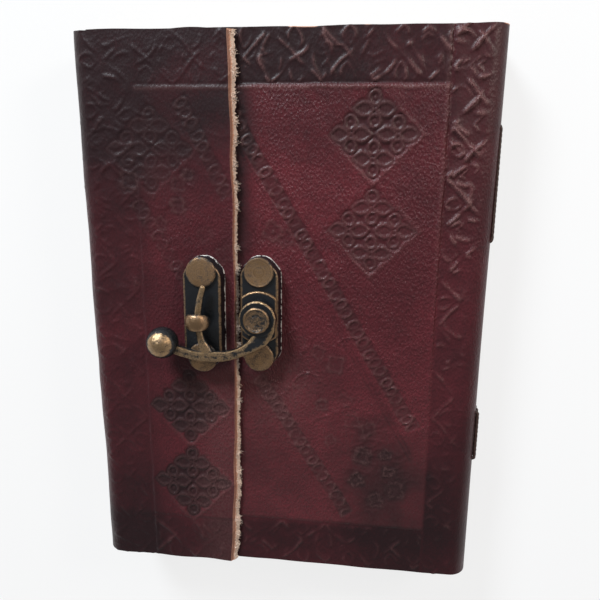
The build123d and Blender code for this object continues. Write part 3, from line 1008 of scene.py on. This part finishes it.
def brassLooks(name, group):
    finish = finishes[name]
    looks, tree, shader, place = newLooks("antiqueBrass" + name)
    inputs = {"Rubbed": mark(tree, "worn"), "Scale": finish["blotch"]}
    worn = put(tree, "ShaderNodeGroup", inputs, node_tree=group)
    share = worn.outputs["Share"]
    paleSpecks = span(tree, maths(tree, "ADD", mark(tree, "speckLine"), speckle(tree, place, 800.0, 2.0)), 1.36, 1.46)
    inputs = {"W": mark(tree, "turned"), "Scale": 5.0, "Detail": 3.0}
    turned = put(tree, "ShaderNodeTexNoise", inputs, noise_dimensions="1D").outputs["Fac"]
    inputs = {"Value": span(tree, turned, 0.3, 0.7, 0.62, 1.25), "Color": finish["tone"]}
    bright = put(tree, "ShaderNodeHueSaturation", inputs).outputs["Color"]
    tone = colourMix(tree, paleSpecks, colourMix(tree, share, brass["patina"], bright), brass["paleSpecks"])
    rough = span(tree, share, 0.0, 1.0, *finish["rough"])
    metal = maths(tree, "SUBTRACT", share, paleSpecks, clamp=True)
    pits = maths(tree, "ADD", worn.outputs["Pitting"], maths(tree, "MULTIPLY", turned, 0.5))
    normal = bumps(tree, pits, finish["pits"], 0.00025)
    feed(tree, shader, {"Base Color": tone, "Roughness": rough, "Metallic": metal, "Normal": normal})
    return looks


def paintBrass(bm, rule):
    names = ("worn", "speckLine", "turned")
    layers = [bm.verts.layers.float.get(name) or bm.verts.layers.float.new(name) for name in names]
    for vert in bm.verts:
        for layer, value in zip(layers, rule(vert.co)):
            vert[layer] = float(value)


# Clasp plates: flat castings with gabled ends, drafted sides and a rubbed bevel, and a boss on one of them
plate = {
    "gable": 4.6,
    "tip": 4.8,
    "corner": 1.6,
    "draft": 8.0,
    "bevel": 0.6,
    "height": 4.2,
    "inset": 0.32,
    "bossR": 8.6,
    "bossSide": 0.8,
    "bossUp": 1.2,
    "bossBevel": 0.45,
    "bossInset": 0.3,
}


def plateRule(low, high):
    # brass shows on the bevel, and pale specks lie along the foot on the right and at the head
    base, top = low[2], low[2] + plate["height"]
    midX, midY = (low[0] + high[0]) / 2, (low[1] + high[1]) / 2
    halfW, halfL = (high[0] - low[0]) / 2, (high[1] - low[1]) / 2
    slope = Vector((plate["gable"], halfW - plate["tip"] / 2)).normalized()
    gableAt = slope.dot((halfW, halfL - plate["gable"]))

    def rule(co):
        across, along = abs(co.x - midX), abs(co.y - midY)
        inset = min(halfW - across, halfL - along, gableAt - slope.dot((across, along)))
        onBevel = soft(top - 0.8, top - 0.4, co.z) * soft(1.45, 1.2, inset)
        foot = soft(base + 2.2, base + 0.4, co.z)
        rightSide = soft(-2, 4, co.x - midX) + soft(8, 16, co.y - midY)
        return 0.68 * onBevel, foot * min(1.0, rightSide), 0.0
    return rule


def castPlate(low, high):
    halfW, halfL = (high[0] - low[0]) / 2, (high[1] - low[1]) / 2
    side, tip, height = halfL - plate["gable"], plate["tip"] / 2, plate["height"]
    outline = [(halfW, -side), (halfW, side), (tip, halfL), (-tip, halfL),
               (-halfW, side), (-halfW, -side), (-tip, -halfL), (tip, -halfL)]
    bm = bmesh.new()
    bmesh.ops.create_circle(bm, segments=len(outline), radius=1.0, cap_ends=True)
    for vert, spot in zip(bm.verts, outline):
        vert.co = (spot[0], spot[1], 0)
    roundOff(bm, bm.verts[:], plate["corner"], 4, "VERTICES")
    lean = height * math.tan(math.radians(plate["draft"]))
    top, topFaces = raiseFaces(bm, (0, 0, height))
    bmesh.ops.scale(bm, vec=((halfW - lean) / halfW, (halfL - lean) / halfL, 1), verts=top)
    risers = [e for e in bm.edges if abs(e.verts[0].co.z - e.verts[1].co.z) > 1]
    bmesh.ops.subdivide_edges(bm, edges=risers, cuts=4)
    roundOff(bm, [e for f in topFaces if f.is_valid for e in f.edges], plate["bevel"])
    outward(bm)
    many = [f for f in bm.faces if len(f.verts) > 8]
    ceiling = [f for f in many if all(abs(v.co.z - height) < 1e-4 for v in f.verts)]
    bmesh.ops.inset_region(bm, faces=ceiling, thickness=plate["inset"])
    bmesh.ops.triangulate(bm, faces=[f for f in bm.faces if len(f.verts) > 4])
    centre = ((low[0] + high[0]) / 2, (low[1] + high[1]) / 2, low[2])
    bmesh.ops.translate(bm, vec=centre, verts=bm.verts[:])
    paintBrass(bm, plateRule(low, high))
    return bm


# Loop on the keeper plate: a fat elliptical wire bent over the spike
loop = {
    "at": (-18.5, -0.6),
    "midR": 2.95,
    "wireX": 1.15,
    "wireY": 2.75,
    "z": 33.5,
    "sink": 0.4,
    "legStep": 0.5,
    "legShare": 0.146,
    "square": 0.9,
}


def buildKeeper(looks):
    bm = castPlate(keeperLow, keeperHigh)
    ring = bmesh.new()
    foot = keeperLow[2] + plate["height"] - loop["sink"]
    x, y = pivotX + loop["at"][0], pivotY + loop["at"][1]
    # known fault: the legs run along the sweep's up direction, so their rings close to a line
    leg = [Vector((x + loop["midR"], y, foot + n * loop["legStep"])) for n in range(6)]
    arch = []
    for a in np.linspace(0, math.pi, 29):
        c, s = math.cos(a), math.sin(a)
        out = math.copysign(abs(c) ** loop["square"], c)
        arch.append(Vector((x + loop["midR"] * out, y, loop["z"] + loop["midR"] * abs(s) ** loop["square"])))
    other = [Vector((2 * x - p.x, p.y, p.z)) for p in reversed(leg)]

    def wireOutline(share, angle):
        along = (share - loop["legShare"]) / (1 - 2 * loop["legShare"])
        rise = math.sin(math.pi * min(1.0, max(0.0, along)))
        swell = 0.60 + 0.42 * rise ** 0.7
        return loop["wireY"] * math.cos(angle) * swell, loop["wireX"] * math.sin(angle)

    sweepRings(ring, leg + arch + other, 24, wireOutline)

    def rule(co):
        up = soft(loop["z"] + 0.4, loop["z"] + 2.6, co.z)
        return 0.9 * up * soft(3.2, 2.2, abs(co.y - y)), 0.0, 0.0

    paintBrass(ring, rule)
    takeIn(bm, ring)
    addPiece("keeper_plate_cast", bm, "diary", looks, ["keeper_plate"], 35.0)


def fromPivot(co):
    return math.hypot(co.x - pivotX, co.y - pivotY)


def buildPivotPlate(looks):
    bm = castPlate(pivotLow, pivotHigh)
    boss = bmesh.new()
    made = bmesh.ops.create_circle(boss, segments=72, radius=plate["bossR"], cap_ends=True)
    reach = (pivotHigh[0] - pivotLow[0]) / 2 - plate["bossSide"]
    for vert in made["verts"]:
        vert.co.x = max(-reach, min(reach, vert.co.x))
    bmesh.ops.remove_doubles(boss, verts=boss.verts[:], dist=0.02)
    rise = plate["bossUp"] + plate["bevel"]
    raiseFaces(boss, (0, 0, rise))
    roundOff(boss, [e for e in boss.edges if all(v.co.z > rise - 0.01 for v in e.verts)], plate["bossBevel"])
    ceiling = [f for f in boss.faces if all(v.co.z > rise - 1e-4 for v in f.verts)]
    bmesh.ops.inset_region(boss, faces=ceiling, thickness=plate["bossInset"])
    outward(boss)
    floor = pivotLow[2] + plate["height"] - plate["bevel"]
    bmesh.ops.translate(boss, vec=(pivotX, pivotY, floor), verts=boss.verts[:])
    top = floor + rise

    def rule(co):
        inset = min(plate["bossR"] - fromPivot(co), reach - abs(co.x - pivotX))
        return 0.95 * soft(top - 0.7, top - 0.4, co.z) * soft(0.72, 0.5, inset), 0.0, 0.0

    paintBrass(boss, rule)
    takeIn(bm, boss)
    addPiece("pivot_plate_cast", bm, "diary", looks, ["pivot_plate"], 35.0)


# Swing arm: eye, comma-shaped bar, spike and ball knob
# Rows of the bar and the spike: place from the pivot, half width and half height
arm = {
    "eyeR": 6.0,
    "eyeThick": 2.8,
    "shankR": 2.1,
    "bar": [
        (2.4, 0.6, 0.08, 3.2, 1.25), (2.35, -3.2, 0.08, 3.2, 1.27), (1.0, -6.2, 0.1, 2.9, 1.26),
        (-0.75, -8.0, 0.55, 2.35, 1.28), (-2.8, -9.4, 1.0, 1.8, 1.28), (-5.9, -10.9, 1.75, 1.48, 1.25),
        (-9.5, -11.9, 2.45, 1.5, 1.22), (-12.8, -12.1, 2.95, 1.7, 1.2), (-16.0, -12.1, 3.24, 1.6, 1.2),
        (-19.5, -11.95, 3.35, 1.45, 1.2), (-23.0, -11.1, 3.55, 1.42, 1.2), (-25.5, -10.3, 3.7, 1.45, 1.2),
        (-28.6, -8.9, 3.9, 1.5, 1.2),
    ],
    "spike": [
        (-16.0, -12.2, 2.2, 1.15), (-16.2, -10.9, 2.3, 1.15), (-16.6, -9.6, 2.0, 1.1),
        (-17.05, -8.3, 1.6, 1.1), (-17.5, -7.0, 1.3, 1.1), (-18.0, -5.0, 1.12, 1.1),
        (-18.4, -1.5, 1.1, 1.1), (-18.4, 2.2, 1.1, 1.08), (-17.75, 6.4, 1.05, 1.0),
        (-16.7, 10.2, 0.9, 0.9), (-16.45, 10.9, 0.5, 0.5),
    ],
    "level": 33.5,
    "ball": (-30.2, -8.0),
    "ballR": 5.1,
    "ballZ": 34.4,
}


def sections(rows, power):
    # a rounded box whose half width and half height follow the rows
    def outline(share, angle):
        at = share * (len(rows) - 1)
        wide = np.interp(at, range(len(rows)), [row[-2] for row in rows])
        tall = np.interp(at, range(len(rows)), [row[-1] for row in rows])
        c, s = math.cos(angle), math.sin(angle)
        box = (abs(c) ** power + abs(s) ** power) ** (-1 / power)
        return wide * c * box, tall * s * box
    return outline


def buildArm(looks):
    foot, top = armLow[2], armLow[2] + arm["eyeThick"]
    midZ = (foot + top) / 2
    r, hole = arm["eyeR"], arm["shankR"]
    bm = bmesh.new()
    profile = [
        (hole, foot), (r - 0.35, foot), (r, foot + 0.35), (r, top - 0.7), (r - 0.06, top - 0.4),
        (r - 0.2, top - 0.14), (r - 0.45, top), (r - 0.75, top), (r - 1.0, top), (hole, top), (hole, foot),
    ]
    lathe(bm, profile, 72, (pivotX, pivotY, 0))

    def eyeRule(co):
        # the rim is rubbed except where the bar runs into it
        away = fromPivot(co)
        toBar = abs(math.degrees(math.atan2(co.y - pivotY, co.x - pivotX)) + 74)
        rim = soft(r - 0.8, r - 0.55, away) * soft(top - 0.9, top - 0.45, co.z)
        return 0.75 * rim * soft(36, 44, toBar), 0.0, away

    paintBrass(bm, eyeRule)
    worn = bm.verts.layers.float["worn"]

    bar = [(pivotX + x, pivotY + y, midZ + z) for x, y, z, wide, tall in arm["bar"]]
    for k, ring in enumerate(sweepRings(bm, smoothRun(bar, 97), 32, sections(arm["bar"], 6))):
        for n, vert in enumerate(ring):
            rise = math.sin(2 * math.pi * n / len(ring))
            vert[worn] = 0.95 * ridge(rise - 0.70, 0.2) + 0.42 * soft(0.84, 0.92, rise) * soft(22, 48, k)
    spike = [(pivotX + x, pivotY + y, arm["level"]) for x, y, wide, tall in arm["spike"]]
    for ring in sweepRings(bm, smoothRun(spike, 81), 20, sections(arm["spike"], 2.6)):
        for n, vert in enumerate(ring):
            vert[worn] = 0.72 * soft(0.1, 0.75, math.sin(2 * math.pi * n / len(ring)))
    knob = bmesh.ops.create_uvsphere(bm, u_segments=48, v_segments=32, radius=arm["ballR"])["verts"]
    seat = Vector((pivotX + arm["ball"][0], pivotY + arm["ball"][1], arm["ballZ"]))
    rubbedFrom = Vector((0.06, 0.04, 1.0)).normalized()
    for vert in knob:
        vert[worn] = 0.74 * soft(0.56, 0.70, vert.co.normalized().dot(rubbedFrom)) + 0.08
        vert.co = vert.co + seat
    addPiece("swing_arm_cast", bm, "swing_arm", looks, ["clasp_arm"], 38.0)


# Pivot rivet: a rubbed rim round a brown dished centre with a turned ring, and a clinched foot
rivet = {
    "headR": 4.3,
    "headThick": 1.5,
    "dish": 0.30,
    "ringR": 1.75,
    "shankR": 1.95,
    "clinchR": 3.0,
    "clinchThick": 0.9,
}


def buildPivotRivet(looks):
    foot, top = headLow[2], headHigh[2]
    seat, dish, clinchTop = top - rivet["headThick"], top - rivet["dish"], foot + rivet["clinchThick"]
    r, ring, shank, clinch = rivet["headR"], rivet["ringR"], rivet["shankR"], rivet["clinchR"]
    profile = [
        (0, foot), (clinch, foot), (clinch, clinchTop), (shank, clinchTop), (shank, seat), (r - 0.1, seat),
        (r, seat + 0.2), (r, top - 0.55), (r - 0.15, top - 0.2), (r - 0.42, top), (r - 0.8, top - 0.05),
        (r - 1.05, top - 0.28), (2.45, dish), (ring + 0.25, dish), (ring + 0.1, dish - 0.08),
        (ring - 0.1, dish - 0.08), (ring - 0.25, dish), (0.6, dish), (0, dish),
    ]
    bm = bmesh.new()
    lathe(bm, profile, 64, (pivotX, pivotY, 0))

    def rule(co):
        away = fromPivot(co)
        rubbed = ridge(away - (r - 0.45), 0.45) + 0.64 * soft(3.5, 3.1, away) - 0.22 * ridge(away - ring, 0.3)
        return rubbed * soft(seat + 0.3, top - 0.5, co.z), 0.0, away
    paintBrass(bm, rule)
    addPiece("pivot_rivet_turned", bm, "diary", looks, ["pivot_rivet"], 45.0)


# Cap rivets: slightly domed or dished turned caps on posts
cap = {
    "r": 4.85,
    "thick": 1.1,
    "postR": 1.4,
    "rings": (0.86, 0.7, 0.52, 0.34, 0.16, 0.0),
    "domes": {"keeper_rivets": (0.3, 0.2), "pivot_plate_rivets": (0.12, -0.3)},
}


def buildCaps(node, looks):
    low, high = nodeBox(node)
    r, post = cap["r"], cap["postR"]
    foot, top = low[2], high[2]
    seat = top - cap["thick"]
    edge = (high[0] - low[0]) / 2
    x = (low[0] + high[0]) / 2
    bm = bmesh.new()
    for y, dome in zip((low[1] + edge, high[1] - edge), cap["domes"][node]):
        one = bmesh.new()
        profile = [
            (0, foot), (post, foot), (post, seat), (r - 0.12, seat), (r, seat + 0.14),
            (r, top - 0.62), (r - 0.10, top - 0.38), (r - 0.32, top - 0.20),
        ]
        for share in cap["rings"]:
            profile.append((r * share, top - 0.2 * (dome < 0) - dome * (share ** 2 - (dome < 0))))
        lathe(one, profile, 64, (x, y, 0))

        def rule(co):
            away = math.hypot(co.x - x, co.y - y)
            onTop = soft(seat + 0.2, top - 0.6, co.z)
            return onTop * (0.74 - 0.2 * ridge(away - r, 0.4)), 0.0, away + x + y

        paintBrass(one, rule)
        takeIn(bm, one)
    addPiece(node + "_turned", bm, "diary", looks, [node], 45.0)


def buildClasp():
    group = patinaGroup()
    cast, knob, turned = (brassLooks(name, group) for name in finishes)
    buildKeeper(cast)
    buildPivotPlate(cast)
    buildArm(knob)
    buildPivotRivet(cast)
    buildCaps("keeper_rivets", turned)
    buildCaps("pivot_plate_rivets", turned)
    for node in ("keeper_rivet_washers", "pivot_plate_rivet_washers"):
        frame["nodes"][node].data.materials.clear()
        frame["nodes"][node].data.materials.append(turned)


# Pale floor that turns up all round, a cool lamp at the upper left and a small warm one at the right
stage = {"flat": 1400.0, "rise": 900.0, "tone": 0.82, "glow": 0.80}
lamps = {
    "key": {"at": (-390, 750, 525), "size": 0.30, "watts": 11.8, "tint": (0.87, 0.94, 1.0)},
    "side": {"at": (340, 250, 300), "size": 0.14, "watts": 0.9, "tint": (1.0, 0.90, 0.81)},
    "sky": 0.23,
    "skyTint": (0.97, 0.985, 1.0, 1),
}
view = {"at": (29.14, 50.67, 211.76), "turn": (-12.87, 7.23, 0.58), "sensor": 36.0, "lens": 36.0}


def buildStage():
    looks = bpy.data.materials.new("paleFloor")
    looks.use_nodes = True
    tree = looks.node_tree
    tree.nodes.clear()
    rays = put(tree, "ShaderNodeLightPath").outputs
    seen = maths(tree, "MAXIMUM", rays["Is Camera Ray"], rays["Is Glossy Ray"])
    seen = maths(tree, "MAXIMUM", seen, rays["Is Transmission Ray"])
    matt = put(tree, "ShaderNodeBsdfDiffuse", {"Color": (stage["tone"],) * 3 + (1,)})
    glow = put(tree, "ShaderNodeEmission", {"Color": (1, 1, 1, 1), "Strength": 1.0})
    share = maths(tree, "MULTIPLY", seen, stage["glow"])
    both = put(tree, "ShaderNodeMixShader", {0: share, 1: matt.outputs[0], 2: glow.outputs[0]})
    put(tree, "ShaderNodeOutputMaterial", {"Surface": both.outputs[0]})
    bm = bmesh.new()
    flat, rise = stage["flat"], stage["rise"]
    profile = [(0, 0), (flat * 0.5, 0), (flat, 0)]
    for turn in np.linspace(0.1, 1.35, 14):
        profile.append((flat + rise * math.sin(turn), rise * (1 - math.cos(turn))))
    lathe(bm, profile, 72, (0, 0, 0))
    if sum(f.normal.z for f in bm.faces) < 0:
        bmesh.ops.reverse_faces(bm, faces=bm.faces[:])
    floor = intoScene("floor", bm, looks)
    print("floor laid")


def buildLight():
    for name in ("key", "side"):
        lamp = lamps[name]
        light = bpy.data.lights.new(name, "AREA")
        light.shape = "DISK"
        light.size = lamp["size"]
        light.energy = lamp["watts"]
        light.color = lamp["tint"]
        holder = bpy.data.objects.new(name, light)
        holder.location = Vector(lamp["at"]) * mm
        holder.rotation_euler = (-holder.location).to_track_quat("-Z", "Y").to_euler()
        scene.collection.objects.link(holder)
    world = bpy.data.worlds.new("studio")
    world.use_nodes = True
    tree = world.node_tree
    rays = put(tree, "ShaderNodeLightPath").outputs
    strength = span(tree, rays["Is Camera Ray"], 0.0, 1.0, lamps["sky"], 1.0)
    feed(tree, tree.nodes["Background"], {"Color": lamps["skyTint"], "Strength": strength})
    scene.world = world
    print("lights set")


def buildCamera():
    eye = bpy.data.cameras.new("view")
    eye.sensor_width = view["sensor"]
    eye.lens = view["lens"]
    eye.clip_start = 0.005
    eye.clip_end = 20.0
    holder = bpy.data.objects.new("view", eye)
    holder.location = Vector(view["at"]) * mm
    holder.rotation_euler = [math.radians(a) for a in view["turn"]]
    scene.collection.objects.link(holder)
    scene.camera = holder
    scene.view_settings.view_transform = "Standard"
    print("camera set")


buildStage()
buildLight()
buildCamera()
leather = buildLeather()
buildFuzz(leather)
buildPages()
buildCords()
buildClasp()
